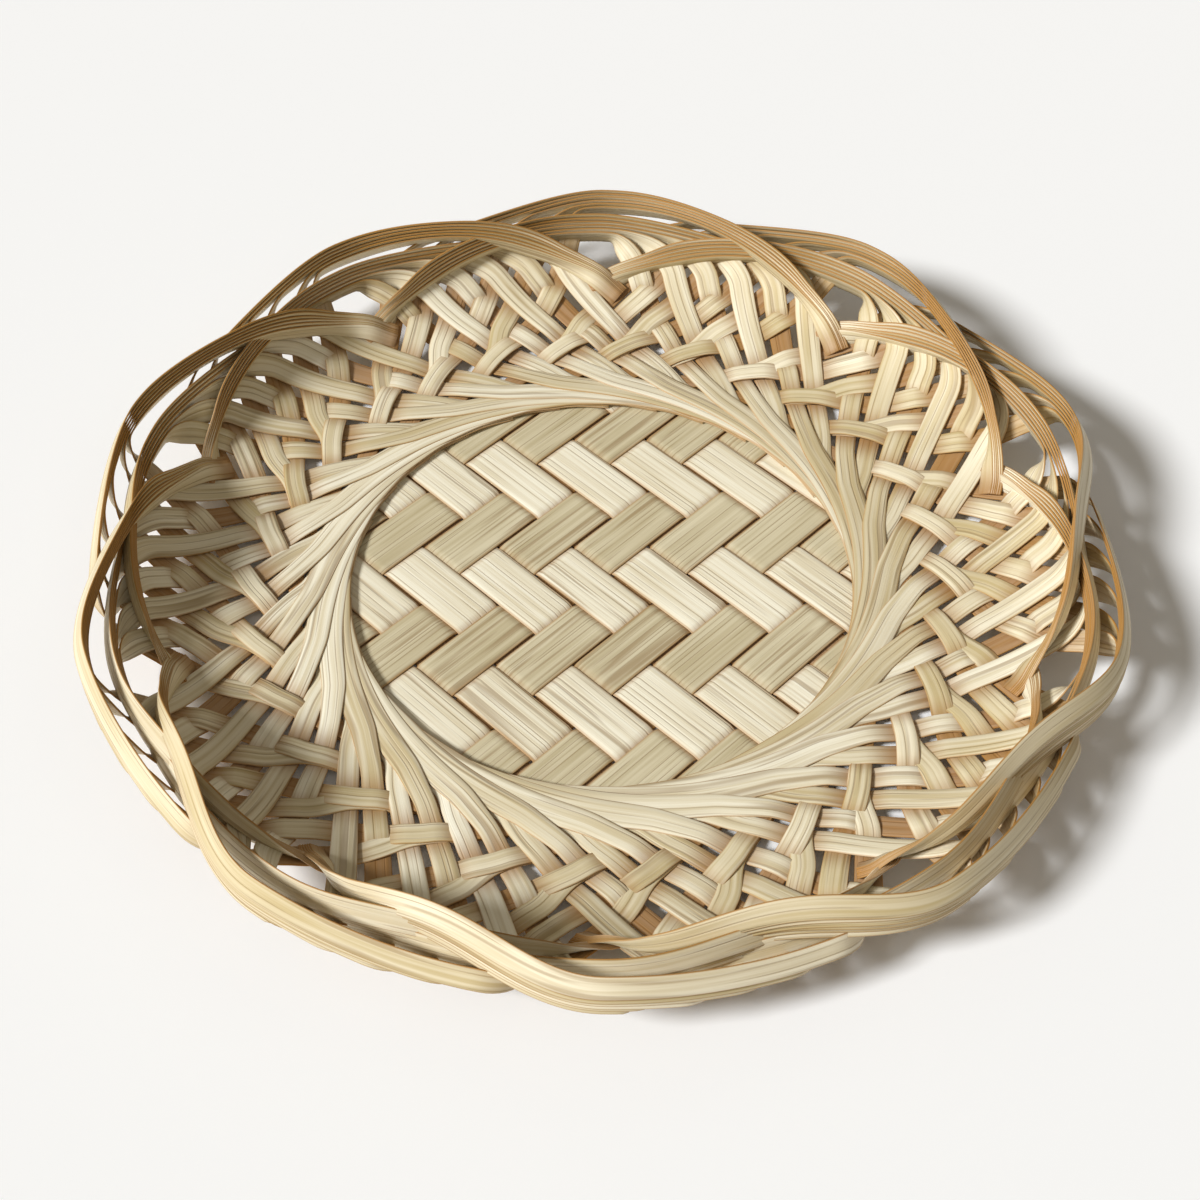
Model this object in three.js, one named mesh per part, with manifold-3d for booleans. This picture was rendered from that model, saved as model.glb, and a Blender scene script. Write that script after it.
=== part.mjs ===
// A shallow round tray plaited from split bamboo, with a looped rim of ten arches.
// Millimetres, +Z up. The underside of the base lies on z = 0, and the tray's middle is on the Z axis.
//
// The base is a mat of wide light and tan strips in two-over, two-under twill. Round it, stakes leave in
// two families of straight lines: one swings left on its way out, seen from inside, and the other right.
// Each stake is split into two splints, which cross the other family's splints in the wall. Over an arch
// of the rim three stakes gather outside the wall into one loop, which passes over the rim and comes
// down inside, in front of the next arch, where its end is tucked in.
import * as THREE from "three";
import Module from "manifold-3d";

const wasm = await Module();
wasm.setup();
const { Manifold, Mesh } = wasm;

// Bamboo stock.
const STRIP_THICKNESS = 0.5;
const CLEARANCE = 0.4; // air between strips where they cross

// Base mat.
const BASE_RADIUS = 60; // where the ring of stakes covers the mat
const BASE_STRIPS = 9.375; // strips across that circle
const BASE_GAP = 1.0; // between neighbouring strips
const MAT_TUCK = 6.5; // how far the mat runs on under the ring
const LIGHT_SHIFT = -0.18; // how far the weave sits off the middle, in pitches
const TAN_SHIFT = 0.45;
const TWILL_REPEAT = 4; // over two, under two
const TRIM_SIDES = 48;

// Wall.
const RING_HEIGHT = 1.9; // level between the two families just outside the mat
const RIM_RADIUS = 117;
const RIM_HEIGHT = 20;
const WALL_CURVE = 4.2; // how late the wall turns up: 1 is a plain cone
const WALL_SPREAD = 1.95; // rim over base in the plan that the stakes' straight lines are drawn on
const SPLINT_SHARE = 0.335; // a splint's width as a share of the stakes' spacing round the base
const DEPTH_SHARE = 0.0739; // and at most this share of the wall's depth, from the base circle to the rim
const STAKE_GAP = 0.4; // between stakes where they lie closest, at their inner ends
const PAIR_GAP = 0.2; // between a stake's two splints while they lie on each other
const WEAVE_LIFT = 0.85; // from the wall's middle surface to a strip's middle, over or under
const CLOSE_SHARE = 0.3;
const RAMP_SHARE = 0.11; // of the way from one crossing to the next, on each side of its middle
const RAMP_MOST = 0.9;
const RAMP_AFTER = 0.0526; // a ramp comes no later after a crossing than this share of the wall's depth
const RING_APART = 10; // most radius between two cross-sections of a splint

// Rim.
const ARCHES = 10;
const WALL_TURN = 0.5; // from the mat's cross axis to the first junction, in arches
const STAKES_PER_ARCH = 3;
const SPLINTS_PER_STAKE = 2;
const LOOP_WIDTH = 4.8;
const LOOP_TIP_THICKNESS = 2; // at the tucked end
const STACK_GAP = 0.1; // between splints where they run into their loop
const LOOP_FROM = 0.8; // where a loop starts, passes the rim and ends, in arches from its first stake
const LOOP_TOP = 1;
const LOOP_TO = 1.94;
const LOOP_STATIONS = 6; // cross-sections from the rim to the tucked end
const LOOP_OUT = 2.5; // how far in and down from the rim a loop starts, outside the wall
const LOOP_DOWN = 5;
const LOOP_LEAN = 0.2; // how much steeper than the wall it stands there, in radians
const JOIN_DEPTH = 0.05; // how far the splints run into the loop's start, as a share of its part outside
const JOIN_NARROW = 0.9; // share of their width that they keep there
const OUTWARD_TURN = 0.3; // share of the way round to the loop that they have gone there
const RIM_STEP = 6; // the left loops pass the rim this far below the right ones, down along the wall
const FIRST_LEAD = 0.11; // from a junction to the nearest splint at that radius, in arches

// Radii on the way out, given as shares of the wall from the base circle to the rim.
const onWall = (share) => BASE_RADIUS + share * (RIM_RADIUS - BASE_RADIUS);
const SLANT_FROM = onWall(0.245); // from here folds follow the crossing strips
const CLOSE_FROM = onWall(0.35); // the splints of an arch draw together between these two
const CLOSE_TO = onWall(0.667);
const LAST_ROW = onWall(0.597); // past this the left family stays on top
const WEAVE_TOP = onWall(0.675); // here the splints leave the weave
const JUNCTION_RADIUS = onWall(0.752); // two neighbouring arches meet here, inside
const OUTWARD_RADIUS = onWall(0.8); // here the splints have passed outside the loops

// The two families. Lift counts inwards from the wall's middle surface.
const LEFT = {
  name: "left_loop",
  sense: 1,
  tangent: 0.958, // radius of the circle that its straight stakes touch, in base radii
  from: BASE_RADIUS,
  splitFrom: onWall(0.052), // a stake's two splints part between these radii
  splitTo: onWall(0.263),
  outwardLift: -1.9,
  rimRadius: RIM_RADIUS - RIM_STEP * Math.cos(wallSlope(RIM_RADIUS)),
  loopLifts: { outside: -0.8, top: 1.3, cross: 2.6, tip: 3.1 },
  colour: "#e2d3a4",
};
const RIGHT = {
  name: "right_loop",
  sense: -1,
  tangent: 1.083,
  from: onWall(0.158),
  splitFrom: onWall(0.193),
  splitTo: onWall(0.405),
  outwardLift: -7.3,
  rimRadius: RIM_RADIUS,
  loopLifts: { outside: -3, top: -1.3, cross: 7.2, tip: 2.8 },
  colour: "#cdb983",
};

// Worked out from the driving dimensions.
const ARCH_ANGLE = (2 * Math.PI) / ARCHES;
const SPLINTS_PER_ARCH = STAKES_PER_ARCH * SPLINTS_PER_STAKE;
const SPLINT_ANGLE = ARCH_ANGLE / SPLINTS_PER_ARCH;
const STAKE_ANGLE = ARCH_ANGLE / STAKES_PER_ARCH;
const WALL_DEPTH = RIM_RADIUS - BASE_RADIUS;
const SPLINT_WIDTH = Math.min(SPLINT_SHARE * STAKE_ANGLE * BASE_RADIUS, DEPTH_SHARE * WALL_DEPTH);
const BASE_PITCH = (2 * BASE_RADIUS) / BASE_STRIPS;
const MAT_EDGE = BASE_RADIUS + MAT_TUCK;
const STACK_STEP = STRIP_THICKNESS + STACK_GAP;
const LOOP_THICKNESS = SPLINTS_PER_ARCH * STACK_STEP;
const MAT_LIFT = (STRIP_THICKNESS + CLEARANCE) / 2;
const MAT_MIDDLE = MAT_LIFT + STRIP_THICKNESS / 2;
const FIRST_ROW = -2; // stakes apart, in splints, where the right family first comes up over the left
const MERGE_WITHIN = 0.06; // slivers thinner than this are merged away after joining
const UP = new THREE.Vector3(0, 0, 1);

const mix = (a, b, share) => a + (b - a) * share;
const modulo = (value, count) => ((value % count) + count) % count;

function smoothStep(from, to, value) {
  const share = Math.min(1, Math.max(0, (value - from) / (to - from)));
  return share * share * (3 - 2 * share);
}

// A parabola through its values at 0, a half and 1.
function through(start, middle, end, share) {
  const bend = 2 * (start + end - 2 * middle);
  return start + (end - start - bend) * share + bend * share * share;
}

// Solids.

function solid(corners, faces) {
  return new Manifold(
    new Mesh({
      numProp: 3,
      vertProperties: new Float32Array(corners.flatMap((corner) => corner.toArray())),
      triVerts: new Uint32Array(faces),
    }),
  );
}

// A ring is one cross-section of a ribbon: its middle, half its width and half its thickness as vectors.
function ring(centre, forward, face, width, thickness, slant = null) {
  const normal = face.clone().addScaledVector(forward, -face.dot(forward) / forward.lengthSq()).normalize();
  const square = normal.clone().cross(forward).normalize();
  const across = slant ? slant.clone().divideScalar(slant.dot(square)) : square;
  return {
    centre,
    across: across.clone().multiplyScalar(width / 2),
    depth: normal.multiplyScalar(thickness / 2),
  };
}

// A closed ribbon of rectangular section through its rings. Opposite faces are folded along parallel lines.
function ribbon(rings) {
  const corners = rings.flatMap(({ centre, across, depth }) => [
    centre.clone().sub(across).sub(depth),
    centre.clone().add(across).sub(depth),
    centre.clone().add(across).add(depth),
    centre.clone().sub(across).add(depth),
  ]);
  const faces = [0, 3, 2, 0, 2, 1];
  for (let start = 0; start + 4 < corners.length; start += 4) {
    for (let side = 0; side < 4; side += 1) {
      const here = start + side;
      const next = start + ((side + 1) % 4);
      if (side < 2) {
        faces.push(here, next, next + 4, here, next + 4, here + 4);
      } else {
        faces.push(here, next, here + 4, next, next + 4, here + 4);
      }
    }
  }
  const last = corners.length - 4;
  faces.push(last, last + 1, last + 2, last, last + 2, last + 3);
  return solid(corners, faces);
}

function meshOf(name, body, colour) {
  const { vertProperties, triVerts, numProp } = body.getMesh();
  const geometry = new THREE.BufferGeometry();
  const places = new THREE.InterleavedBuffer(vertProperties, numProp);
  geometry.setAttribute("position", new THREE.InterleavedBufferAttribute(places, 3, 0));
  geometry.setIndex(new THREE.BufferAttribute(triVerts, 1));
  const flat = geometry.toNonIndexed();
  flat.computeVertexNormals();
  const material = new THREE.MeshStandardMaterial({ color: colour, roughness: 0.6, metalness: 0 });
  const mesh = new THREE.Mesh(flat, material);
  mesh.name = name;
  return mesh;
}

// Base mat: light strips run along one diagonal and tan strips along the other.

const LIGHT_ALONG = new THREE.Vector3(1, -1, 0).normalize();
const TAN_ALONG = new THREE.Vector3(1, 1, 0).normalize();

function lightIsOver(light, tan) {
  return modulo(tan - light + 1, TWILL_REPEAT) < TWILL_REPEAT / 2;
}

// Indices of the strips that show inside the ring.
function matIndices(shift) {
  const reach = BASE_RADIUS / BASE_PITCH + (1 - BASE_GAP / BASE_PITCH) / 2;
  const indices = [];
  for (let index = Math.ceil(-reach - shift); index <= reach - shift; index += 1) {
    indices.push(index);
  }
  return indices;
}

function matStrip(along, offset, crossShift, isOver) {
  const aside = UP.clone().cross(along);
  const place = (distance, over) =>
    along
      .clone()
      .multiplyScalar(distance)
      .addScaledVector(aside, offset)
      .addScaledVector(UP, MAT_MIDDLE + (over ? MAT_LIFT : -MAT_LIFT));
  const section = (distance, over) =>
    ring(place(distance, over), along, UP, BASE_PITCH - BASE_GAP, STRIP_THICKNESS);
  const count = Math.ceil(MAT_EDGE / BASE_PITCH) + 1;
  const rings = [section((-count - 0.5 + crossShift) * BASE_PITCH, isOver(-count))];
  for (let cross = -count; cross < count; cross += 1) {
    const edge = (cross + 0.5 + crossShift) * BASE_PITCH;
    if (isOver(cross) !== isOver(cross + 1)) {
      rings.push(section(edge - BASE_GAP / 2, isOver(cross)), section(edge + BASE_GAP / 2, isOver(cross + 1)));
    }
  }
  rings.push(section((count + 0.5 + crossShift) * BASE_PITCH, isOver(count)));
  return ribbon(rings);
}

function matStrips(trim) {
  const lights = matIndices(LIGHT_SHIFT).map((light, order) => {
    const offset = (light + LIGHT_SHIFT) * BASE_PITCH;
    const strip = matStrip(LIGHT_ALONG, offset, TAN_SHIFT, (tan) => lightIsOver(light, tan));
    return meshOf(`base_light_strip_${numbered(order)}`, strip.intersect(trim), "#eadfc0");
  });
  // Tan strips count the light strips the other way, because those lie to the left of their own run.
  const tans = matIndices(TAN_SHIFT).map((tan, order) => {
    const offset = -(tan + TAN_SHIFT) * BASE_PITCH;
    const strip = matStrip(TAN_ALONG, offset, LIGHT_SHIFT, (light) => !lightIsOver(light, tan));
    return meshOf(`base_tan_strip_${numbered(order)}`, strip.intersect(trim), "#c9b68a");
  });
  return [...lights, ...tans];
}

const numbered = (order) => String(order + 1).padStart(2, "0");

// Wall.

function wallHeight(radius) {
  const share = Math.max(0, (radius - BASE_RADIUS) / (RIM_RADIUS - BASE_RADIUS));
  return RING_HEIGHT + (RIM_HEIGHT - RING_HEIGHT) * share ** WALL_CURVE;
}

function wallSlope(radius) {
  const step = 0.5;
  return Math.atan2(wallHeight(radius + step) - wallHeight(radius - step), 2 * step);
}

// Points inwards and up, square to a surface of that slope.
function inward(angle, slope) {
  return new THREE.Vector3(
    -Math.cos(angle) * Math.sin(slope),
    -Math.sin(angle) * Math.sin(slope),
    Math.cos(slope),
  );
}

function polar(radius, angle, height) {
  return new THREE.Vector3(radius * Math.cos(angle), radius * Math.sin(angle), height);
}

function wallPlace(radius, angle, lift) {
  return polar(radius, angle, wallHeight(radius)).addScaledVector(inward(angle, wallSlope(radius)), lift);
}

const junctionAngle = (arch) => (arch + WALL_TURN) * ARCH_ANGLE;

// A radius on the plan that the straight lines are drawn on, in base radii.
function drawn(radius) {
  return 1 + ((WALL_SPREAD - 1) * (radius - BASE_RADIUS)) / WALL_DEPTH;
}

// How far a straight stake of the family has turned round the middle at this radius.
function swing(family, radius) {
  const turned = (at) => Math.acos(Math.min(1, family.tangent / drawn(at)));
  return turned(radius) - turned(JUNCTION_RADIUS);
}

// Where a splint of an arch lies at a radius. The splints of a stake lie on each other until they part.
function splintAngle(family, arch, splint, radius) {
  const stake = Math.floor(splint / SPLINTS_PER_STAKE);
  const half = splint - stake * SPLINTS_PER_STAKE - 0.5;
  const parted = smoothStep(family.splitFrom, family.splitTo, radius);
  const close = 1 - CLOSE_SHARE * smoothStep(CLOSE_FROM, CLOSE_TO, radius);
  const lane = (stake + 0.5 - 0.5 / SPLINTS_PER_STAKE) * STAKE_ANGLE + half * parted * SPLINT_ANGLE;
  return junctionAngle(arch) + family.sense * (FIRST_LEAD * ARCH_ANGLE + close * lane + swing(family, radius));
}

// Which family is on top where a left splint crosses a right one.
function rightIsOver(radius, leftArch, leftSplint, rightArch, rightSplint) {
  if (radius > LAST_ROW) {
    return false;
  }
  const left = SPLINTS_PER_ARCH * leftArch + leftSplint;
  const right = SPLINTS_PER_ARCH * rightArch - rightSplint;
  const leftStake = left - modulo(leftSplint, SPLINTS_PER_STAKE);
  const rightStake = right + modulo(rightSplint, SPLINTS_PER_STAKE);
  if (rightStake - leftStake <= FIRST_ROW) {
    return rightStake - leftStake === FIRST_ROW;
  }
  return modulo(right - left, TWILL_REPEAT) < TWILL_REPEAT / 2;
}

// Every crossing of one splint in the weave, from the base outwards.
function crossings(family, arch, splint) {
  const other = family === LEFT ? RIGHT : LEFT;
  const found = [];
  for (let otherArch = arch - STAKES_PER_ARCH; otherArch <= arch + STAKES_PER_ARCH; otherArch += 1) {
    for (let otherSplint = 0; otherSplint < SPLINTS_PER_ARCH; otherSplint += 1) {
      const apart = (radius) =>
        family.sense *
        (splintAngle(family, arch, splint, radius) - splintAngle(other, otherArch, otherSplint, radius));
      let low = RIGHT.from;
      let high = WEAVE_TOP;
      if (apart(low) > 0 || apart(high) < 0) {
        continue;
      }
      while (high - low > 1e-4) {
        const middle = (low + high) / 2;
        if (apart(middle) > 0) {
          high = middle;
        } else {
          low = middle;
        }
      }
      const right =
        family === LEFT
          ? rightIsOver(low, arch, splint, otherArch, otherSplint)
          : rightIsOver(low, otherArch, otherSplint, arch, splint);
      found.push({ radius: low, over: right === (family === RIGHT) });
    }
  }
  return found.sort((a, b) => a.radius - b.radius);
}

// The way a family runs at a place on the wall.
function heading(family, radius, angle) {
  const step = 0.5;
  const turn = family.sense * (swing(family, radius + step) - swing(family, radius));
  return wallPlace(radius + step, angle + turn, 0).sub(wallPlace(radius, angle, 0)).normalize();
}

// How wide a splint can be near its inner end without touching the next stake.
function splintWidth(family, radius) {
  const spacing = STAKE_ANGLE * BASE_RADIUS * Math.sqrt(drawn(radius) ** 2 - family.tangent ** 2);
  return Math.min(SPLINT_WIDTH, spacing - STAKE_GAP);
}

// How far over or under its stake's middle a splint lies, until the two have parted.
function pairLift(family, splint, radius) {
  const half = modulo(splint, SPLINTS_PER_STAKE) - 0.5;
  const parting = family.splitTo - family.splitFrom;
  const level = smoothStep(family.splitTo, family.splitTo + parting / 2, radius);
  return half * (STRIP_THICKNESS + PAIR_GAP) * (1 - level);
}

// How far inside its loop's middle a splint lies: the one with the longest way round is the innermost.
function stackDepth(splint) {
  return ((SPLINTS_PER_ARCH - 1) / 2 - splint) * STACK_STEP;
}

// A ring of a splint in the weave. Its edge lines follow the strips that it crosses, as a fold would.
function weaveRing(family, arch, splint, radius, over, slanted) {
  const place = (at) => {
    const lift = (over ? WEAVE_LIFT : -WEAVE_LIFT) + pairLift(family, splint, at);
    return wallPlace(at, splintAngle(family, arch, splint, at), lift);
  };
  const step = 0.2;
  const angle = splintAngle(family, arch, splint, radius);
  const forward = place(radius + step).sub(place(radius - step)).normalize();
  const other = family === LEFT ? RIGHT : LEFT;
  const slant = slanted ? heading(other, radius, angle) : null;
  const face = inward(angle, wallSlope(radius));
  return ring(place(radius), forward, face, splintWidth(family, radius), STRIP_THICKNESS, slant);
}

// Rings of a splint up to the top of the weave, with a ramp halfway between crossings on different sides.
function wovenRings(family, arch, splint) {
  const top = { radius: WEAVE_TOP, over: family === LEFT };
  const marks = [...crossings(family, arch, splint), top];
  const stations = [{ radius: family.from, over: marks[0].over }];
  const addUpTo = (radius, over) => {
    const from = stations.at(-1).radius;
    const steps = Math.ceil((radius - from) / RING_APART);
    for (let step = 1; step <= steps; step += 1) {
      stations.push({ radius: mix(from, radius, step / steps), over });
    }
  };
  marks.slice(1).forEach((after, index) => {
    const before = marks[index];
    if (after.over === before.over) {
      return;
    }
    const middle = Math.min((before.radius + after.radius) / 2, before.radius + RAMP_AFTER * WALL_DEPTH);
    const reach = Math.min(RAMP_MOST, (after.radius - before.radius) * RAMP_SHARE);
    addUpTo(middle - reach, before.over);
    stations.push({ radius: middle + reach, over: after.over });
  });
  addUpTo(WEAVE_TOP, top.over);
  return stations.map(({ radius, over }) => {
    const slanted = radius > SLANT_FROM && radius < WEAVE_TOP;
    return weaveRing(family, arch, splint, radius, over, slanted);
  });
}

// Rim loops.

// A loop's turn is -1 where it starts outside, 0 on the rim and 1 at its tucked end. Inside it is a quarter of
// an ellipse, which leaves the rim level and arrives at the junction straight down the wall.
function loopAngle(family, arch, turn) {
  const outside = LOOP_TOP + turn * (LOOP_TOP - LOOP_FROM);
  const inside = LOOP_TOP + (LOOP_TO - LOOP_TOP) * Math.sin((turn * Math.PI) / 2);
  return junctionAngle(arch + family.sense * (turn < 0 ? outside : inside));
}

function loopPlace(family, arch, turn, extraLift = 0) {
  const angle = loopAngle(family, arch, turn);
  const { outside, top, cross, tip } = family.loopLifts;
  if (turn < 0) {
    const radius = family.rimRadius - LOOP_OUT * turn ** 2;
    const height = wallHeight(family.rimRadius) - LOOP_DOWN * turn ** 2;
    const face = inward(angle, wallSlope(family.rimRadius) - LOOP_LEAN * turn);
    const lift = mix(top, outside, -turn) + extraLift;
    return { face, place: polar(radius, angle, height).addScaledVector(face, lift) };
  }
  const radius = mix(JUNCTION_RADIUS, family.rimRadius, Math.cos((turn * Math.PI) / 2));
  const face = inward(angle, wallSlope(radius));
  return { face, place: wallPlace(radius, angle, through(top, cross, tip, turn) + extraLift) };
}

function loopForward(family, arch, turn) {
  const step = 0.02;
  const behind = loopPlace(family, arch, turn - step).place;
  return loopPlace(family, arch, turn + step).place.sub(behind).normalize();
}

function loopRing(family, arch, turn) {
  const { place, face } = loopPlace(family, arch, turn);
  const forward = loopForward(family, arch, turn);
  const thickness = mix(LOOP_THICKNESS, LOOP_TIP_THICKNESS, Math.max(0, turn));
  return ring(place, forward, face, LOOP_WIDTH, thickness);
}

function loopBody(family, arch) {
  const rings = [loopRing(family, arch, -1), loopRing(family, arch, -0.5)];
  for (let station = 0; station < LOOP_STATIONS; station += 1) {
    rings.push(loopRing(family, arch, station / (LOOP_STATIONS - 1)));
  }
  return ribbon(rings);
}

// A splint from the base through the weave, out past the loops and into its own loop.
function splintBody(family, arch, splint) {
  const rings = wovenRings(family, arch, splint);
  const depth = stackDepth(splint);
  const joinTurn = JOIN_DEPTH - 1;
  const join = loopPlace(family, arch, joinTurn, depth);
  const joinAngle = loopAngle(family, arch, joinTurn);
  const outAngle = mix(splintAngle(family, arch, splint, WEAVE_TOP), joinAngle, OUTWARD_TURN);
  const out = wallPlace(OUTWARD_RADIUS, outAngle, family.outwardLift + depth);
  const outForward = join.place.clone().sub(rings.at(-1).centre).normalize();
  const outFace = inward(outAngle, wallSlope(OUTWARD_RADIUS));
  rings.push(ring(out, outForward, outFace, SPLINT_WIDTH, STRIP_THICKNESS));
  const joinForward = loopForward(family, arch, joinTurn);
  rings.push(ring(join.place, joinForward, join.face, SPLINT_WIDTH * JOIN_NARROW, STRIP_THICKNESS));
  return ribbon(rings);
}

// Everything that one loop gathers: the splints of three stakes, and the loop itself.
// Pockets closed in between splints that run together are filled.
function gatheredLoop(family, arch) {
  const bodies = [loopBody(family, arch)];
  for (let splint = 0; splint < SPLINTS_PER_ARCH; splint += 1) {
    bodies.push(splintBody(family, arch, splint));
  }
  const body = Manifold.union(bodies).simplify(MERGE_WITHIN).decompose().find((piece) => piece.volume() > 1);
  return meshOf(`${family.name}_${numbered(arch)}`, body, family.colour);
}

const tray = new THREE.Group();
tray.name = "woven_tray";
const trim = Manifold.cylinder(4 * MAT_MIDDLE, MAT_EDGE, MAT_EDGE, TRIM_SIDES).translate([0, 0, -MAT_MIDDLE]);
tray.add(...matStrips(trim));
for (const family of [LEFT, RIGHT]) {
  for (let arch = 0; arch < ARCHES; arch += 1) {
    tray.add(gatheredLoop(family, arch));
  }
}

export default tray;
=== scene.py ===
import math
import random
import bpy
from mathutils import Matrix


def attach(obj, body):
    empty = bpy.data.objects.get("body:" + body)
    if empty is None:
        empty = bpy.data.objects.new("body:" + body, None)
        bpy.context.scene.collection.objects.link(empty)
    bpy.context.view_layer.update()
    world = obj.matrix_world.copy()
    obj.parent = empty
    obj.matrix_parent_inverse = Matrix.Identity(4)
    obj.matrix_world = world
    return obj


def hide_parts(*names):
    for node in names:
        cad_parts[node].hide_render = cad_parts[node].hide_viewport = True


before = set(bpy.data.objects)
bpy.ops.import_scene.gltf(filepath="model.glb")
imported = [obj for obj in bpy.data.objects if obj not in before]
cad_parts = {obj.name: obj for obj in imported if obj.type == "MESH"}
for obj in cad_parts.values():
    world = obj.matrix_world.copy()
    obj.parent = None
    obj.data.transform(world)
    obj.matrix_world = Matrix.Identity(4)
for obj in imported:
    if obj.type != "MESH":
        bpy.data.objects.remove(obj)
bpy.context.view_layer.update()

from types import SimpleNamespace

import bpy
import numpy as np
from mathutils import Matrix, Vector

# A shallow round tray plaited from split bamboo. Sizes are in millimetres until a mesh is made.
MM = 0.001

# Base mat.
BASE_PITCH = 12.8  # from one strip's middle to the next
BASE_GAP = 0.7  # between neighbouring strips
BASE_RADIUS = 60  # where the ring of stakes covers the mat
MAT_EDGE = BASE_RADIUS + 6.5  # the mat runs on under the ring
LIGHT_SHIFT = -0.18  # how far the weave sits off the middle, in pitches
TAN_SHIFT = 0.45
TWILL_REPEAT = 4  # over two, under two
MAT_MIDDLE = 0.7  # height of the level between over and under
MAT_LIFT = 0.45  # from that level to a strip's middle
MAT_BEND = 1.3  # half the length in which a strip goes from over to under
MAT_STEP = 1.1  # between two cross-sections
MAT_CROWN = 0.1  # how far a strip's middle stands above its edges
MAT_THICKNESS = 0.45
MAT_ACROSS = 8  # faces across a strip
MAT_SWAY = (0.1, 30)  # size and length of a strip's wobble to the side
MAT_RAGGED = (0.1, 20)  # and of the wobble of its width
MAT_SEED = 11

# Wall.
RING_HEIGHT = 1.9  # of the wall's middle surface, where it starts
RIM_RADIUS = 117
RIM_HEIGHT = 20
WALL_DEPTH = RIM_RADIUS - BASE_RADIUS
WALL_CURVE = 4.2  # how late the wall turns up: 1 is a plain cone
SLOPE_REACH = 0.5  # the wall's slope is taken over this much radius, to both sides
WALL_SPREAD = 1.95  # rim over base in the plan of the stakes' straight lines
SPLINT_WIDTH = 6.2  # at the top of the wall
FOOT_WIDTH = 4.7  # where the wall starts
SPLINT_THICKNESS = 0.42
SPLINT_CROWN = 0.03
SPLINT_ACROSS = 4
SPLINT_STEP = 1.5
SPLINT_SWAY = (0.12, 18)
SPLINT_RAGGED = (0.02, 25)  # as a share of the width
WALL_SEED = 23
WALL_STATIONS = 56  # places on the wall that a splint is led through
PAIR_STEP = 0.6  # between a stake's two splints while they lie on each other
WEAVE_LIFT = 0.55  # from the wall's middle surface to a splint's middle, over or under
CLOSE_SHARE = 0.15  # the splints of an arch draw together by this share of their spacing
CLOSE_EASE = 1.25  # how late they do
RAMP_MOST = 3.2  # most radius from the middle of a bend to its end
RAMP_AFTER = 3.0  # a bend's middle comes no later than this after a crossing


def on_wall(share):
    """A radius at this share of the way from the base circle to the rim."""
    return BASE_RADIUS + share * WALL_DEPTH


CLOSE_FROM = on_wall(0.12)  # the splints of an arch draw together between these two
CLOSE_TO = on_wall(0.8)
FIRST_CROSSING = on_wall(0.158)  # from here on the two families cross, and left stakes are straight
LAST_ROW = on_wall(0.7)  # past this the left family stays on top
WEAVE_TOP = on_wall(0.745)  # from here the left family lies inside the right one
JUNCTION_RADIUS = on_wall(0.752)  # two neighbouring arches meet here, inside
ARCHES_CROSSED = 3  # a splint crosses others that start at most so many arches away
CROSSING_SEARCH = 0.001  # a crossing's radius is found to this

# Ring round the base.
RING_RADIUS = BASE_RADIUS + 2.3  # the left stakes run along this circle before they swing out
RING_RUN = math.radians(13)  # so far round the middle
RING_STATIONS = 8
RING_TUCK = 0.8  # how far the start of a stake lies under the one before it
RING_TUCK_FROM = 0.25  # share of the run at which it starts to go under
RING_WIDTH = 6.2  # of a splint in the ring
SHINGLE_TILT = math.radians(7)  # each stake of the ring lies with one edge on the next
SHINGLE_FADE = (66, 78)  # radii between which that ends

# Rim.
ARCHES = 10
ARCH_ANGLE = 2 * math.pi / ARCHES
WALL_TURN = 0.5  # from the mat's cross axis to the first junction, in arches
STAKES_PER_ARCH = 3
SPLINTS_PER_STAKE = 2
SPLINTS_PER_ARCH = STAKES_PER_ARCH * SPLINTS_PER_STAKE
SPLINT_ANGLE = ARCH_ANGLE / SPLINTS_PER_ARCH
STAKE_ANGLE = ARCH_ANGLE / STAKES_PER_ARCH
FIRST_LEAD = 0.11  # from a junction to the nearest splint at that radius, in arches
FIRST_ROW = -2  # splints between a left and a right stake, where the right one first comes out on top
LOOP_RISE = 0.42  # over how much of an arch a loop comes up to the rim
LOOP_ROUND = 1.6  # how gently it levels out there
LOOP_FALL = 2.6  # how late it turns down the wall towards the junction
STAND_OUTSIDE = math.radians(74)  # a loop's strips stand on edge: how far they are turned out of the wall
STAND_TOP = math.radians(66)
STAND_INSIDE = math.radians(76)
STAND_TIP = math.radians(30)
TOP_TO_INSIDE = (0.1, 0.5)  # where that changes, in turns: 0 is at the rim and 1 at the junction
INSIDE_TO_TIP = (0.85, 1.1)
BEND_RUN = 0.24  # a splint turns from the wall into its loop over this run, in arches
LAST_JOIN = 0.95  # and has done so by here
STACK_STEP = 0.58  # between splints that lie on each other in a loop
LOOP_STRIP = 5.2  # width of a splint in its loop
TIP_STRIP = 4  # and at its tucked end
FAN_OUTSIDE = 1.1  # how far each splint shows beside the one before it, outside and at the rim
FAN_TOP = 0.9
FAN_CHANGE = (0.6, 1)  # where that changes, in arches
TUCK_TURN = 1.12  # the tucked end runs on to this turn
TUCK_STACK = 0.45  # share of the loop's depth and fan that is left there
TUCK_CHANGE = (0.7, 1)  # turns between which the loop narrows to that
OUTSIDE_STATIONS = 18  # places in an arch that a loop is led through, outside
INSIDE_STATIONS = 28  # and in all, inside

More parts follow.
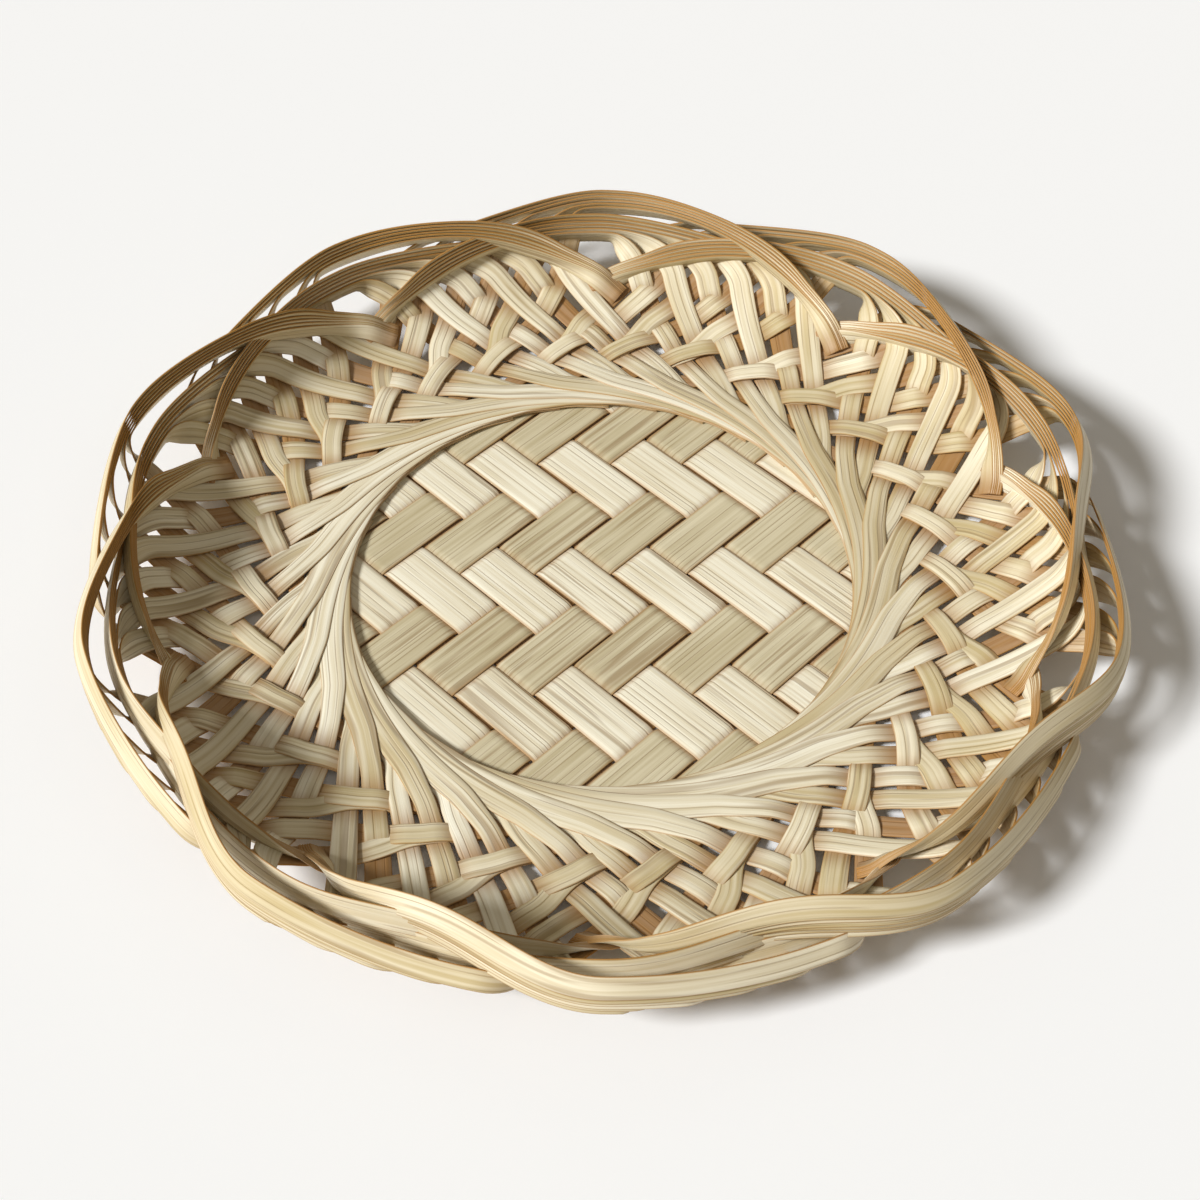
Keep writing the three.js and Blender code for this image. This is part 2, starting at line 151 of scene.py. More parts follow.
# The two families. A loop's lifts off the wall are outside, at the rim, halfway inside and at its tip.
LEFT = SimpleNamespace(
    name="left_splint",
    node="left_loop",
    slot="left_splint_bamboo",
    sense=1,
    tangent=0.958,  # how near the middle its straight line would pass, in base radii
    start=RING_RADIUS,
    end=on_wall(0.79),
    split=(on_wall(0.052), on_wall(0.263)),  # where a stake's two splints start to part and lie apart
    rim=RIM_RADIUS - 3.6,  # radius of the loop at the rim, and before that outside
    outside=RIM_RADIUS - 7,
    loop_lifts=(-1.0, 0.8, 3.2, 1.4),
    loop_to=1.92,  # where it ends, in arches
)
RIGHT = SimpleNamespace(
    name="right_splint",
    node="right_loop",
    slot="right_splint_bamboo",
    sense=-1,
    tangent=1.083,
    start=on_wall(0.15),
    end=on_wall(0.75),
    split=(on_wall(0.36), on_wall(0.56)),
    rim=RIM_RADIUS + 0.6,
    outside=RIM_RADIUS - 4,
    loop_lifts=(-4.2, -2.0, 7.2, 3.0),
    loop_to=1.97,
)

# Strips.
WAVES = 3  # in a wobble
WAVE_STRETCH = (0.6, 1.6)  # from the shortest to the longest, in the wobble's length
WAVE_START = 6  # most radians that a wave is shifted
MAP_LENGTH = 5000  # a strip's map starts anywhere in this length
EDGE_BEVEL = 0.28  # share of a strip's thickness
SHARP_EDGE = math.radians(50)

# Camera, in pixels of the 1200 x 1200 picture and millimetres.
PICTURE = 1200
FOCAL_PIXELS = 2000
CAMERA_RISE = math.radians(50.0)
CAMERA_ROLL = math.radians(-0.12)
CAMERA_SPIN = math.radians(0.42)
CAMERA_ASIDE = (0.38, 2.80)
CAMERA_AWAY = 475
SENSOR = 36
CLIP_START = 10

# Room, in metres.
FLOOR_SIZE = 30
FLOOR_DROP = 0.0002  # below the tray, so that no two faces lie in one plane
FLOOR_COLOUR = (0.92, 0.945, 1, 1)
FLOOR_ROUGHNESS = 0.9
GLOW = {"Color": (1, 0.88, 0.68, 1), "Strength": 0.23}  # what lights the tray from all round
BACKDROP = {"Color": (0.92, 0.915, 0.9, 1), "Strength": 1.0}  # what the camera sees past the floor


# Curves and the wall's surface. Radii and angles may be arrays.


def smooth_step(start, end, value):
    share = np.clip((value - start) / (end - start), 0, 1)
    return share * share * (3 - 2 * share)


def mix(a, b, share):
    return a + (b - a) * share


def unit(vectors):
    return vectors / np.linalg.norm(vectors, axis=-1, keepdims=True)


def wall_height(radius):
    share = np.maximum(0, (radius - BASE_RADIUS) / WALL_DEPTH)
    return RING_HEIGHT + (RIM_HEIGHT - RING_HEIGHT) * share**WALL_CURVE


def wall_slope(radius):
    rise = wall_height(radius + SLOPE_REACH) - wall_height(radius - SLOPE_REACH)
    return np.arctan2(rise, 2 * SLOPE_REACH)


def inward(angle, slope):
    """Points inwards and up, square to a surface of that slope."""
    return np.stack([-np.cos(angle) * np.sin(slope), -np.sin(angle) * np.sin(slope), np.cos(slope)], -1)


def polar(radius, angle, height):
    return np.stack([radius * np.cos(angle), radius * np.sin(angle), height], -1)


def wall_place(radius, angle, lift):
    place = polar(radius, angle, wall_height(radius))
    return place + inward(angle, wall_slope(radius)) * np.asarray(lift)[..., None]


def spline(knots, values, at):
    """A natural cubic spline through values at knots."""
    gaps = np.diff(knots)
    rises = np.diff(values, axis=0) / gaps[:, None]
    count = len(knots)
    system = np.eye(count)
    right = np.zeros_like(values)
    for k in range(1, count - 1):
        system[k, k - 1 : k + 2] = gaps[k - 1], 2 * (gaps[k - 1] + gaps[k]), gaps[k]
        right[k] = 6 * (rises[k] - rises[k - 1])
    bends = np.linalg.solve(system, right)
    part = np.clip(np.searchsorted(knots, at) - 1, 0, count - 2)
    width = gaps[part][:, None]
    near = (knots[part + 1] - at)[:, None]
    far = (at - knots[part])[:, None]
    curved = (bends[part] * near**3 + bends[part + 1] * far**3) / (6 * width)
    start = (values[part] / width - bends[part] * width / 6) * near
    end = (values[part + 1] / width - bends[part + 1] * width / 6) * far
    return curved + start + end


# Stakes and splints.


def drawn(radius):
    """A radius on the plan of the straight lines, in base radii."""
    return 1 + (WALL_SPREAD - 1) * (radius - BASE_RADIUS) / WALL_DEPTH


def swing(family, radius):
    """How far a stake has turned round the middle at this radius, counted from the junctions' radius."""

    def round_middle(at):
        tangent = family.tangent
        if family is LEFT:
            tangent = mix(drawn(RING_RADIUS), tangent, smooth_step(RING_RADIUS, FIRST_CROSSING, at))
        return np.arccos(np.minimum(1, tangent / drawn(at)))

    return round_middle(radius) - round_middle(JUNCTION_RADIUS)


def junction_angle(arch):
    return (arch + WALL_TURN) * ARCH_ANGLE


def splint_angle(family, arch, splint, radius):
    stake = splint // SPLINTS_PER_STAKE
    half = splint % SPLINTS_PER_STAKE - 0.5
    parted = smooth_step(*family.split, radius)
    drawn_in = np.clip((radius - CLOSE_FROM) / (CLOSE_TO - CLOSE_FROM), 0, 1)
    close = 1 - CLOSE_SHARE * drawn_in**CLOSE_EASE
    lane = (stake + 0.5 - 0.5 / SPLINTS_PER_STAKE) * STAKE_ANGLE + half * parted * SPLINT_ANGLE
    ahead = FIRST_LEAD * ARCH_ANGLE + close * lane + swing(family, radius)
    return junction_angle(arch) + family.sense * ahead


def right_is_over(radius, left_arch, left_splint, right_arch, right_splint):
    """Which family is on top where a left splint crosses a right one."""
    if radius > LAST_ROW:
        return False
    left = SPLINTS_PER_ARCH * left_arch + left_splint
    right = SPLINTS_PER_ARCH * right_arch - right_splint
    stakes_apart = right + right_splint % SPLINTS_PER_STAKE - left + left_splint % SPLINTS_PER_STAKE
    if stakes_apart <= FIRST_ROW:
        return stakes_apart == FIRST_ROW
    row = (right - left - FIRST_ROW) // SPLINTS_PER_STAKE
    return (row + right_splint) % SPLINTS_PER_STAKE == 0


def crossings(family, splint):
    """Radius and side, 1 over and -1 under, of each crossing of a splint of the first arch."""
    other = RIGHT if family is LEFT else LEFT
    found = []
    for arch in range(-ARCHES_CROSSED, ARCHES_CROSSED + 1):
        for crossed in range(SPLINTS_PER_ARCH):

            def apart(radius):
                return family.sense * (
                    splint_angle(family, 0, splint, radius) - splint_angle(other, arch, crossed, radius)
                )

            low, high = FIRST_CROSSING, WEAVE_TOP
            if apart(low) > 0 or apart(high) < 0:
                continue
            while high - low > CROSSING_SEARCH:
                middle = (low + high) / 2
                low, high = (low, middle) if apart(middle) > 0 else (middle, high)
            pair = (0, splint, arch, crossed) if family is LEFT else (arch, crossed, 0, splint)
            over = right_is_over(low, *pair) == (family is RIGHT)
            found.append((low, 1 if over else -1))
    return sorted(found)


def weave_side(family, splint, radius):
    """1 where a splint lies over the other family and -1 where it lies under it, with soft bends between."""
    marks = crossings(family, splint) + [(WEAVE_TOP, family.sense)]
    side = np.full_like(radius, marks[0][1])
    for (before, old), (after, new) in zip(marks, marks[1:]):
        if old != new:
            middle = min((before + after) / 2, before + RAMP_AFTER)
            reach = min(RAMP_MOST, (after - before) / 2)
            side = side + (new - old) * smooth_step(middle - reach, middle + reach, radius)
    return side


def weave_lift(family, splint, radius):
    """How far a splint lies over or under the wall's middle surface."""
    side = weave_side(family, splint, radius)
    half = splint % SPLINTS_PER_STAKE - 0.5
    starts, ends = family.split
    level = smooth_step(ends, ends + (ends - starts) / 2, radius)
    return side * WEAVE_LIFT + half * PAIR_STEP * (1 - level)


def woven_width(family, radius):
    """Splints are narrowest at the foot of the wall. The ring's stakes are wide enough to close up."""
    foot = LEFT.split[1]
    wall = mix(FOOT_WIDTH, SPLINT_WIDTH, np.clip((radius - foot) / (WEAVE_TOP - foot), 0, 1))
    return mix(RING_WIDTH, wall, smooth_step(*LEFT.split, radius)) if family is LEFT else wall


def loop_outside(family, share, depth):
    """Outside the wall a loop comes up to the rim, which it passes at a share of 1, in arches."""
    lift, top = family.loop_lifts[:2]
    angle = junction_angle(family.sense * share)
    back = 1 - np.exp(-(((1 - share) / LOOP_RISE) ** LOOP_ROUND))
    radius = mix(family.rim, family.outside, back)
    face = inward(angle, wall_slope(radius) + mix(STAND_TOP, STAND_OUTSIDE, back))
    return wall_place(radius, angle, mix(top, lift, back)) - face * depth, face


def loop_inside(family, turn, depth):
    """Inside it runs along the rim, then down the wall to the junction at turn 1, and on into the weave."""
    _, top, halfway, tip = family.loop_lifts
    angle = junction_angle(family.sense * (1 + (family.loop_to - 1) * turn))
    radius = mix(family.rim, JUNCTION_RADIUS, turn**LOOP_FALL)
    stand = mix(STAND_TOP, STAND_INSIDE, smooth_step(*TOP_TO_INSIDE, turn))
    stand = mix(stand, STAND_TIP, smooth_step(*INSIDE_TO_TIP, turn))
    face = inward(angle, wall_slope(radius) + stand)
    over_others = (halfway - (top + tip) / 2) * np.sin(math.pi * np.minimum(turn, 1)) ** 2
    inside = mix(top, tip, smooth_step(0, 1, turn)) + over_others
    lift = inside * (1 - smooth_step(1, TUCK_TURN, turn))
    return wall_place(radius, angle, lift) - face * depth[:, None], face


def ring_run(splint):
    """The start of a left stake, along the ring's circle and under the stake before it."""
    start = splint_angle(LEFT, 0, splint, np.array([RING_RADIUS]))
    back = np.linspace(-RING_RUN, -RING_RUN / RING_STATIONS, RING_STATIONS)
    radius = np.full_like(back, RING_RADIUS)
    tucked = RING_TUCK * smooth_step(-RING_TUCK_FROM * RING_RUN, -RING_RUN, back)
    place = wall_place(radius, start + back, weave_lift(LEFT, splint, radius) - tucked)
    return place, inward(start + back, wall_slope(radius)), radius


def rank_in_loop(splint):
    """A splint's place in its loop, counted from the middle."""
    return (SPLINTS_PER_ARCH - 1) / 2 - splint


def splint_sections(family, splint):
    """Ring, wall, loop outside and loop inside: places, faces, widths, fan and how far each lies under, which
    sets its painted shade.
    """
    depth = rank_in_loop(splint) * STACK_STEP
    radius = mix(family.start, family.end, np.linspace(0, 1, WALL_STATIONS) ** 2)
    angle = splint_angle(family, 0, splint, radius)
    woven = wall_place(radius, angle, weave_lift(family, splint, radius))
    # How far the splint lies under the other family: it is given painted shade there.
    under = (1 - weave_side(family, splint, radius)) / 2
    sections = [(woven, inward(angle, wall_slope(radius)), woven_width(family, radius), 0 * radius, under)]
    if family is LEFT:
        place, face, ring = ring_run(splint)
        sections.insert(0, (place, face, woven_width(family, ring), 0 * ring, 0 * ring))
    leaves = family.sense * (angle[-1] - junction_angle(0)) / ARCH_ANGLE
    joins = min(leaves + BEND_RUN, LAST_JOIN)
    share = np.linspace(joins, 1, 2 + int((1 - joins) * OUTSIDE_STATIONS), endpoint=False)
    place, face = loop_outside(family, share, depth)
    fan = mix(FAN_OUTSIDE, FAN_TOP, smooth_step(*FAN_CHANGE, share))
    sections.append((place, face, 0 * share + LOOP_STRIP, fan, 0 * share))
    turn = np.linspace(0, TUCK_TURN, INSIDE_STATIONS)
    tuck = mix(1, TUCK_STACK, smooth_step(*TUCK_CHANGE, turn))
    place, face = loop_inside(family, turn, depth * tuck)
    narrowed = mix(LOOP_STRIP, TIP_STRIP, smooth_step(*TUCK_CHANGE, turn))
    # The tucked end is given painted shade as it goes under.
    sections.append((place, face, narrowed, FAN_TOP * tuck, smooth_step(1, TUCK_TURN, turn)))
    return sections


def splint_route(family, splint):
    """Middle line, face and width of a splint of the first arch, from under the ring to its tucked end."""
    sections = splint_sections(family, splint)
    points, faces, widths, fans, painted_shade_unders = (np.concatenate(line) for line in zip(*sections))
    knots = np.concatenate([[0], np.cumsum(np.linalg.norm(np.diff(points, axis=0), axis=1))])
    at = np.linspace(0, knots[-1], int(knots[-1] / SPLINT_STEP) + 1)
    centre = spline(knots, points, at)
    forward = unit(np.gradient(centre, axis=0))
    face = spline(knots, faces, at)
    face = unit(face - forward * (face * forward).sum(1, keepdims=True))
    side = np.cross(face, forward)
    width, fan, under = (np.interp(at, knots, values) for values in (widths, fans, painted_shade_unders))
    away = np.hypot(centre[:, 0], centre[:, 1])
    tilt = SHINGLE_TILT * (1 - smooth_step(*SHINGLE_FADE, away)) if family is LEFT else 0 * at
    centre = centre - side * (family.sense * rank_in_loop(splint) * fan)[:, None]
    # How far into its loop a splint has come: the loops get a painted golden glow, as of light shining
    # through them.
    rim = smooth_step(0, FAN_TOP, fan)
    return SimpleNamespace(
        at=at, centre=centre, face=face, side=side, width=width, tilt=tilt, rim=rim, under=under
    )


def turned(vectors, angle):
    """Vectors turned round the tray's middle."""
    turn = np.array(Matrix.Rotation(angle, 3, "Z"))
    return vectors @ turn.T


def wander(rng, at, size, length):
    """A slow wobble along a strip, made of a few sine waves."""

    def wave():
        height = math.sin(rng.uniform(0, WAVE_START))
        stretch = length * rng.uniform(*WAVE_STRETCH)
        return height * np.sin(at / stretch + rng.uniform(0, WAVE_START))

    return size * sum(wave() for _ in range(WAVES))


# Meshes.


def strip_piece(name, route, across, crown, thickness, rng):
    """A bamboo strip: a grid laid along its route, given thickness and softened edges."""
    bpy.ops.object.select_all(action="DESELECT")
    stations = len(route.at)
    bpy.ops.mesh.primitive_grid_add(x_subdivisions=across, y_subdivisions=stations - 1, size=1)
    piece = bpy.context.object
    piece.name = name
    mesh = piece.data
    mesh.name = name
    lanes = np.linspace(-1, 1, across + 1)
    half = route.width / 2
    aside = lanes[None, :] * half[:, None]
    lean = aside * np.tan(route.tilt)[:, None] + crown * (1 - lanes[None, :] ** 2)
    places = route.centre[:, None] + route.side[:, None] * aside[..., None]
    places = places + route.face[:, None] * lean[..., None]
    mesh.vertices.foreach_set("co", (places * MM).reshape(-1).astype(np.float32))
    # The strip's own map: millimetres across and along, from a random start for each strip.
    start = rng.uniform(0, MAP_LENGTH)
    vertex_of_loop = np.zeros(len(mesh.loops), np.int32)
    mesh.loops.foreach_get("vertex_index", vertex_of_loop)
    flat = np.stack(np.broadcast_arrays(aside, start + route.at[:, None]), -1).reshape(-1, 2)
    layer = mesh.uv_layers.active
    layer.name = "strip"
    layer.data.foreach_set("uv", flat[vertex_of_loop].reshape(-1).astype(np.float32))
    # For the shader: edge places a painted glow and shadow outline at the cut edges, rim a painted glow on
    # the loops, and under painted shade beneath other strips.
    for label, values in (
        ("tone", np.full(stations * (across + 1), rng.random())),
        ("edge", np.broadcast_to(np.abs(lanes), (stations, across + 1)).reshape(-1)),
        ("rim", np.repeat(route.rim, across + 1)),
        ("under", np.repeat(route.under, across + 1)),
    ):
        attribute = mesh.attributes.new(label, "FLOAT", "POINT")
        attribute.data.foreach_set("value", values.astype(np.float32))
    mesh.update()
    finish_strip(piece, thickness)
    return piece


def finish_strip(piece, thickness):
    shell = piece.modifiers.new("thickness", "SOLIDIFY")
    shell.thickness = thickness * MM
    shell.offset = 0
    shell.use_even_offset = True
    bpy.ops.object.modifier_apply(modifier=shell.name)
    softened = piece.modifiers.new("edges", "BEVEL")
    softened.width = thickness * MM * EDGE_BEVEL
    softened.segments = 1
    softened.limit_method = "ANGLE"
    softened.angle_limit = SHARP_EDGE
    bpy.ops.object.modifier_apply(modifier=softened.name)
    bpy.ops.object.shade_smooth_by_angle(angle=SHARP_EDGE)


def light_is_over(light, tan):
    return (tan - light + 1) % TWILL_REPEAT < TWILL_REPEAT / 2


def mat_indices(shift):
    """Indices of the strips that show inside the ring."""
    reach = BASE_RADIUS / BASE_PITCH + (1 - BASE_GAP / BASE_PITCH) / 2
    return range(math.ceil(-reach - shift), math.floor(reach - shift) + 1)


def mat_route(along, offset, cross_shift, is_over, rng):
    """Middle line of a strip of the base mat, over and under the strips that it crosses."""
    along = np.array([*along, 0]) / math.sqrt(2)
    up = np.array([0, 0, 1])
    aside = np.cross(up, along)
    reach = math.sqrt(MAT_EDGE**2 - offset**2)
    at = np.linspace(-reach, reach, int(2 * reach / MAT_STEP) + 1)
    count = math.ceil(MAT_EDGE / BASE_PITCH) + 1
    lift = np.full_like(at, MAT_LIFT if is_over(-count) else -MAT_LIFT)
    for cross in range(-count, count):
        change = (is_over(cross + 1) - is_over(cross)) * 2 * MAT_LIFT
        edge = (cross + 0.5 + cross_shift) * BASE_PITCH
        lift = lift + change * smooth_step(edge - MAT_BEND, edge + MAT_BEND, at)
    stray = offset + wander(rng, at, *MAT_SWAY)
    centre = at[:, None] * along + stray[:, None] * aside + (MAT_MIDDLE + lift)[:, None] * up
    ones = np.ones((len(at), 1))
    width = BASE_PITCH - BASE_GAP + wander(rng, at, *MAT_RAGGED)
    flat = 0 * at
    # Painted shade where the strip dips under the strips that it crosses.
    under = (MAT_LIFT - lift) / (2 * MAT_LIFT)
    return SimpleNamespace(
        at=at, centre=centre, face=up * ones, side=aside * ones, width=width, tilt=flat, rim=flat, under=under
    )


def ride(piece, node, material):
    piece.data.materials.append(material)
    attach(piece, "root")
    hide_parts(node)


def base_mat(light_finish, tan_finish):
    rng = random.Random(MAT_SEED)
    for order, light in enumerate(mat_indices(LIGHT_SHIFT), 1):
        offset = (light + LIGHT_SHIFT) * BASE_PITCH
        route = mat_route((1, -1), offset, TAN_SHIFT, lambda tan: light_is_over(light, tan), rng)
        piece = strip_piece(f"light_strip_{order:02d}", route, MAT_ACROSS, MAT_CROWN, MAT_THICKNESS, rng)
        ride(piece, f"base_light_strip_{order:02d}", light_finish)
    for order, tan in enumerate(mat_indices(TAN_SHIFT), 1):
        offset = -(tan + TAN_SHIFT) * BASE_PITCH
        route = mat_route((1, 1), offset, LIGHT_SHIFT, lambda light: not light_is_over(light, tan), rng)
        piece = strip_piece(f"tan_strip_{order:02d}", route, MAT_ACROSS, MAT_CROWN, MAT_THICKNESS, rng)
        ride(piece, f"base_tan_strip_{order:02d}", tan_finish)


def wall_and_rim(family, finish):
    """All splints of a family: each arch is the first one turned, with small differences of its own."""
    rng = random.Random(WALL_SEED + family.sense)
    routes = [splint_route(family, splint) for splint in range(SPLINTS_PER_ARCH)]
    for arch in range(ARCHES):
        for splint, route in enumerate(routes):
            own = SimpleNamespace(**vars(route))
            sway = wander(rng, route.at, *SPLINT_SWAY)
            own.centre = turned(route.centre + route.side * sway[:, None], arch * ARCH_ANGLE)
            own.face = turned(route.face, arch * ARCH_ANGLE)
            own.side = turned(route.side, arch * ARCH_ANGLE)
            own.width = route.width * (1 + wander(rng, route.at, *SPLINT_RAGGED))
            name = f"{family.name}_{arch + 1:02d}_{splint + 1}"
            piece = strip_piece(name, own, SPLINT_ACROSS, SPLINT_CROWN, SPLINT_THICKNESS, rng)
            ride(piece, f"{family.node}_{arch + 1:02d}", finish)


# Materials.


class Wire:
    """One socket of a shader. Sums are written as plain expressions, and node() adds any other node."""

    def __init__(self, tree, socket=None):
        self.tree = tree
        self.socket = socket

    def node(self, kind, settings=None, inputs=None, output=0):
        made = self.tree.nodes.new(kind)
        for key, value in (settings or {}).items():
            setattr(made, key, value)
        for key, value in (inputs or {}).items():
            if isinstance(value, Wire):
                self.tree.links.new(value.socket, made.inputs[key])
            else:
                made.inputs[key].default_value = value
        return Wire(self.tree, made.outputs[output] if len(made.outputs) else None)

    def math(self, operation, *terms):
        return self.node("ShaderNodeMath", {"operation": operation}, dict(enumerate(terms)))

    def __add__(self, other):
        return self.math("ADD", self, other)

    def __radd__(self, other):
        return self.math("ADD", other, self)

    def __sub__(self, other):
        return self.math("SUBTRACT", self, other)

    def __rsub__(self, other):
        return self.math("SUBTRACT", other, self)

    def __mul__(self, other):
        return self.math("MULTIPLY", self, other)

    def __rmul__(self, other):
        return self.math("MULTIPLY", other, self)

    def between(self, low, high):
        """0 at low, 1 at high, and soft between them."""
        settings = {"interpolation_type": "SMOOTHSTEP"}
        return self.node("ShaderNodeMapRange", settings, {0: self, 1: low, 2: high, 3: 0.0, 4: 1.0})

    def scaled(self, across, along):
        """A strip's own map, drawn out along the strip."""
        settings = {"operation": "MULTIPLY"}
        return self.node("ShaderNodeVectorMath", settings, {0: self, 1: (across, along, 1.0)})

    def blend(self, first, second):
        """A colour between two, by this share."""
        settings = {"data_type": "RGBA", "clamp_factor": True}
        return self.node("ShaderNodeMix", settings, {0: self, 6: first, 7: second}, 2)

    def noise(self, detail):
        inputs = {"Vector": self, "Scale": 1.0, "Detail": detail}
        return self.node("ShaderNodeTexNoise", {"noise_dimensions": "2D"}, inputs)


def colour(red, green, blue):
    """A colour as it shows on screen, 0 to 255, in the shader's own scale."""

    def linear(part):
        part = part / 255
        return part / 12.92 if part <= 0.04045 else ((part + 0.055) / 1.055) ** 2.4

    return (linear(red), linear(green), linear(blue), 1.0)


LINE_BROWN = colour(146, 120, 84)
# Painted golden glow and painted shadow outline along the strips' cut edges.
PAINTED_EDGE_GLOW_AND_SHADOW = colour(164, 113, 36)
# Painted golden glow of light shining through the loops.
PAINTED_LOOP_GLOW = colour(206, 164, 84)
# Painted shade where a strip lies under others.
PAINTED_UNDER_SHADE = colour(152, 102, 40)

# Marks of split bamboo. A scale is in waves to the millimetre, across and along a strip. A mark starts at the
# first value of full and is strongest at the second. Share, height and rough are what it then adds.
FIBRES = SimpleNamespace(scale=(3.2, 0.05), detail=3.0, full=(0.5, 0.8), share=0.3, height=0.5, rough=0.2)
STREAKS = SimpleNamespace(scale=(0.9, 0.012), detail=2.0, full=(0.3, 0.75), share=0.45, height=0.2)
PATCHES = SimpleNamespace(scale=(0.12, 0.03), detail=1.0, full=(0.35, 0.7), share=0.2)
SPLITS = SimpleNamespace(along=0.004, uneven=0.6, full=(0.02, 0.12), height=1.2, rough=0.2)
SPLIT_PLACES = SimpleNamespace(scale=(0.45, 0.035), detail=1.0, full=(0.36, 0.6))
# Painted glow and shadow outline at the cut edges, with more of it on the loops.
PAINTED_EDGE_BAND = SimpleNamespace(full=(0.88, 1.0), share=0.6, more_glow_on_loops=0.3)
# Share of the loops' painted golden glow.
LOOP_GLOW_SHARE = 0.1
# Share of the painted shade under other strips.
UNDER_SHADE_SHARE = 0.8
RELIEF_STRENGTH = 0.45
RELIEF_DEPTH = 0.15 * MM
ROUGHNESS = 0.42
SPECULAR = 0.4


def bamboo(name, pale, deep, split_spacing, tone_share, line_share):
    """Split bamboo: fine fibres along the strip, hairline splits and a tone of its own, with painted light
    and shade: a golden glow and shadow outline at the cut edges, a golden glow on the loops and shade where a
    strip lies under others.
    """
    material = bpy.data.materials.new(name)
    material.use_nodes = True
    tree = material.node_tree
    tree.nodes.clear()
    start = Wire(tree)
    strip = start.node("ShaderNodeUVMap", {"uv_map": "strip"})
    tone, edge, rim, under = (
        start.node("ShaderNodeAttribute", {"attribute_name": label}, output="Fac")
        for label in ("tone", "edge", "rim", "under")
    )
    fibres = strip.scaled(*FIBRES.scale).noise(FIBRES.detail)
    streaks = strip.scaled(*STREAKS.scale).noise(STREAKS.detail)
    patches = strip.scaled(*PATCHES.scale).noise(PATCHES.detail)
    settings = {"feature": "DISTANCE_TO_EDGE", "voronoi_dimensions": "2D"}
    cells = strip.scaled(1 / split_spacing, SPLITS.along)
    inputs = {"Vector": cells, "Scale": 1.0, "Randomness": SPLITS.uneven}
    gap = start.node("ShaderNodeTexVoronoi", settings, inputs)
    places = strip.scaled(*SPLIT_PLACES.scale).noise(SPLIT_PLACES.detail).between(*SPLIT_PLACES.full)
    splits = (1 - gap.between(*SPLITS.full)) * places
    darker = streaks.between(*STREAKS.full) * STREAKS.share + patches.between(*PATCHES.full) * PATCHES.share
    body = (darker + tone * tone_share).blend(pale, deep)
    body = (fibres.between(*FIBRES.full) * FIBRES.share).blend(body, deep)
    body = (splits * line_share).blend(body, LINE_BROWN)
    # Painted golden glow on the loops, as light shines through them.
    body = (rim * LOOP_GLOW_SHARE).blend(body, PAINTED_LOOP_GLOW)
    # Painted shade where a strip lies under others.
    body = (under * UNDER_SHADE_SHARE).blend(body, PAINTED_UNDER_SHADE)
    # Painted golden glow and shadow outline along the cut edges, stronger on the loops.
    painted_edge = edge.between(*PAINTED_EDGE_BAND.full) * (PAINTED_EDGE_BAND.share + rim * PAINTED_EDGE_BAND.more_glow_on_loops)
    body = painted_edge.blend(body, PAINTED_EDGE_GLOW_AND_SHADOW)
    height = fibres * FIBRES.height - splits * SPLITS.height + streaks * STREAKS.height
    inputs = {"Strength": RELIEF_STRENGTH, "Distance": RELIEF_DEPTH, "Height": height}
    bump = start.node("ShaderNodeBump", None, inputs)
    roughness = ROUGHNESS + fibres * FIBRES.rough + splits * SPLITS.rough
    inputs = {"Base Color": body, "Roughness": roughness, "Normal": bump, "Specular IOR Level": SPECULAR}
    shader = start.node("ShaderNodeBsdfPrincipled", None, inputs)
    start.node("ShaderNodeOutputMaterial", None, {"Surface": shader})
    return material


# Room: floor, lamps, world and camera.


def floor():
    bpy.ops.object.select_all(action="DESELECT")
    bpy.ops.mesh.primitive_plane_add(size=FLOOR_SIZE, location=(0, 0, -FLOOR_DROP))
    plane = bpy.context.object
    plane.name = "floor"
    material = bpy.data.materials.new("pale_floor")
    material.use_nodes = True
    shader = material.node_tree.nodes["Principled BSDF"]
    shader.inputs["Base Color"].default_value = FLOOR_COLOUR
    shader.inputs["Roughness"].default_value = FLOOR_ROUGHNESS
    plane.data.materials.append(material)


def sun(name, strength, azimuth, rise, softness, tint):
    lamp = bpy.data.lights.new(name, "SUN")
    lamp.energy = strength
    lamp.angle = math.radians(softness)
    lamp.color = tint
    body = bpy.data.objects.new(name, lamp)
    bpy.context.scene.collection.objects.link(body)
    azimuth, rise = math.radians(azimuth), math.radians(rise)
    level = math.cos(rise)
    towards = Vector((math.cos(azimuth) * level, math.sin(azimuth) * level, math.sin(rise)))
    body.rotation_euler = towards.to_track_quat("Z", "Y").to_euler()
    body.location = towards


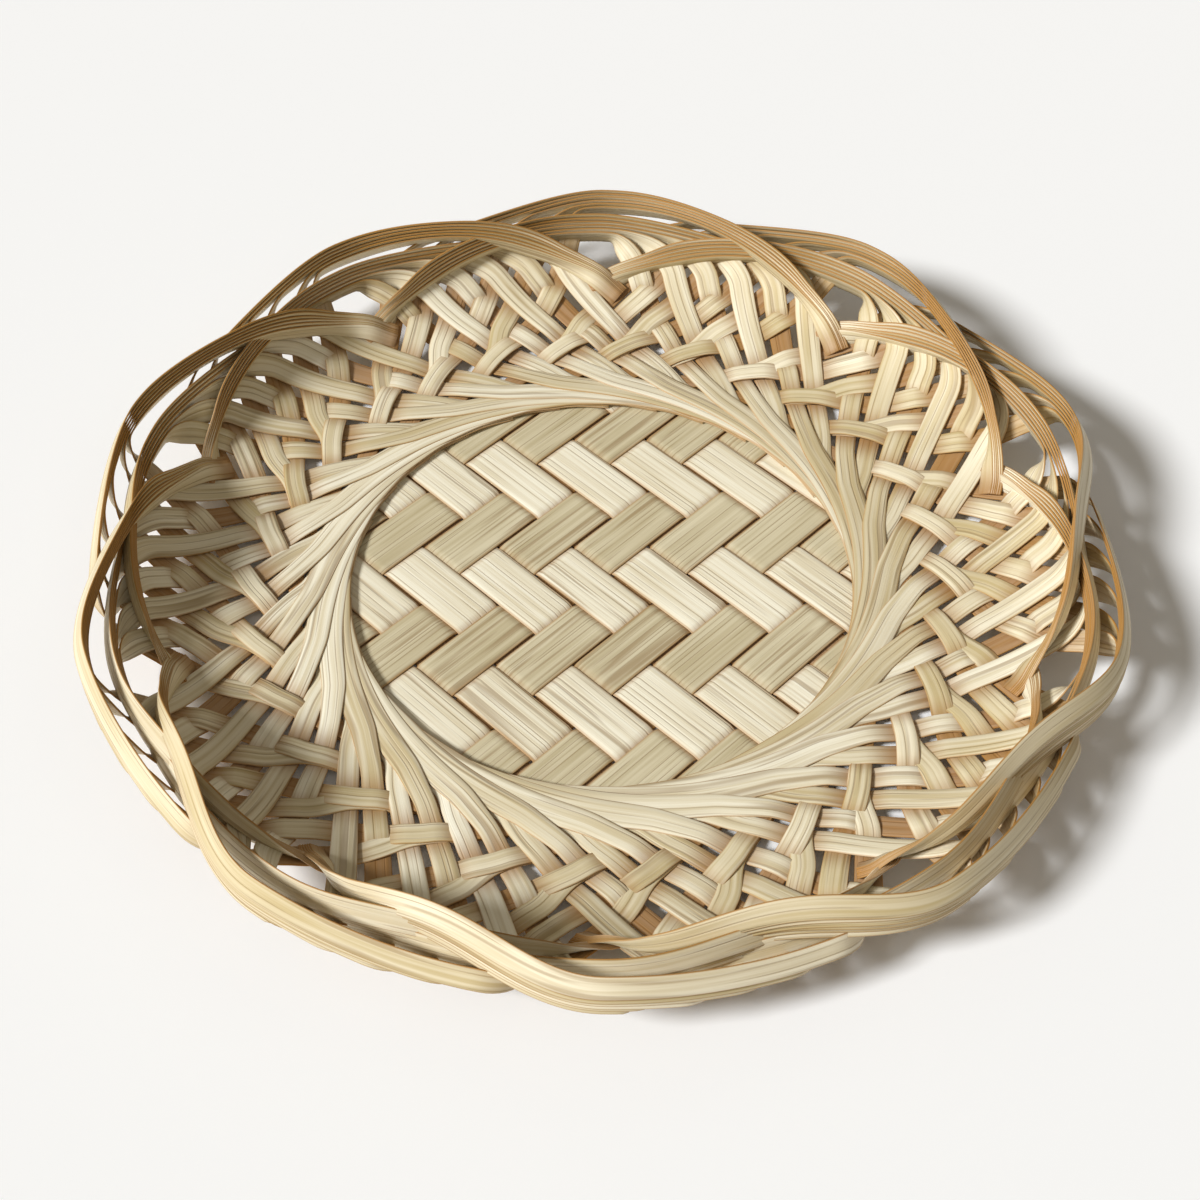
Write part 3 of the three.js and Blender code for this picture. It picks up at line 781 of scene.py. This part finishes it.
def studio():
    scene = bpy.context.scene
    scene.view_settings.view_transform = "Standard"
    world = bpy.data.worlds.new("studio")
    world.use_nodes = True
    world.node_tree.nodes.clear()
    start = Wire(world.node_tree)
    glow = start.node("ShaderNodeBackground", None, GLOW)
    backdrop = start.node("ShaderNodeBackground", None, BACKDROP)
    seen = start.node("ShaderNodeLightPath", output="Is Camera Ray")
    both = start.node("ShaderNodeMixShader", None, {0: seen, 1: glow, 2: backdrop})
    start.node("ShaderNodeOutputWorld", None, {"Surface": both})
    scene.world = world
    sun("window_light", strength=3.7, azimuth=205, rise=39, softness=14, tint=(1.0, 0.99, 0.95))
    sun("fill_light", strength=0.12, azimuth=300, rise=60, softness=60, tint=(1.0, 1.0, 1.0))


def camera():
    eye = bpy.data.cameras.new("camera")
    eye.sensor_width = SENSOR
    eye.sensor_fit = "HORIZONTAL"
    eye.lens = FOCAL_PIXELS / PICTURE * SENSOR
    eye.clip_start = CLIP_START * MM
    body = bpy.data.objects.new("camera", eye)
    bpy.context.scene.collection.objects.link(body)
    to_camera = (
        Matrix.Rotation(CAMERA_ROLL, 3, "Z")
        @ Matrix.Rotation(CAMERA_RISE - math.pi / 2, 3, "X")
        @ Matrix.Rotation(CAMERA_SPIN, 3, "Z")
    )
    turn = to_camera.transposed()
    shift = Vector((*CAMERA_ASIDE, -CAMERA_AWAY)) * MM
    body.matrix_world = Matrix.Translation(-(turn @ shift)) @ turn.to_4x4()
    bpy.context.scene.camera = body


light_mat = bamboo(
    "light_mat_bamboo",
    pale=colour(249, 246, 231),
    deep=colour(214, 202, 171),
    split_spacing=1.5,
    tone_share=0.25,
    line_share=0.5,
)
tan_mat = bamboo(
    "tan_mat_bamboo",
    pale=colour(221, 213, 187),
    deep=colour(180, 167, 131),
    split_spacing=1.3,
    tone_share=0.25,
    line_share=0.6,
)
base_mat(light_mat, tan_mat)
left_splints = bamboo(
    "left_splint_bamboo",
    pale=colour(249, 246, 231),
    deep=colour(200, 185, 147),
    split_spacing=1.7,
    tone_share=0.6,
    line_share=0.55,
)
wall_and_rim(LEFT, left_splints)
right_splints = bamboo(
    "right_splint_bamboo",
    pale=colour(247, 241, 221),
    deep=colour(196, 180, 138),
    split_spacing=1.7,
    tone_share=0.6,
    line_share=0.55,
)
wall_and_rim(RIGHT, right_splints)
floor()
studio()
camera()

bpy.context.view_layer.update()
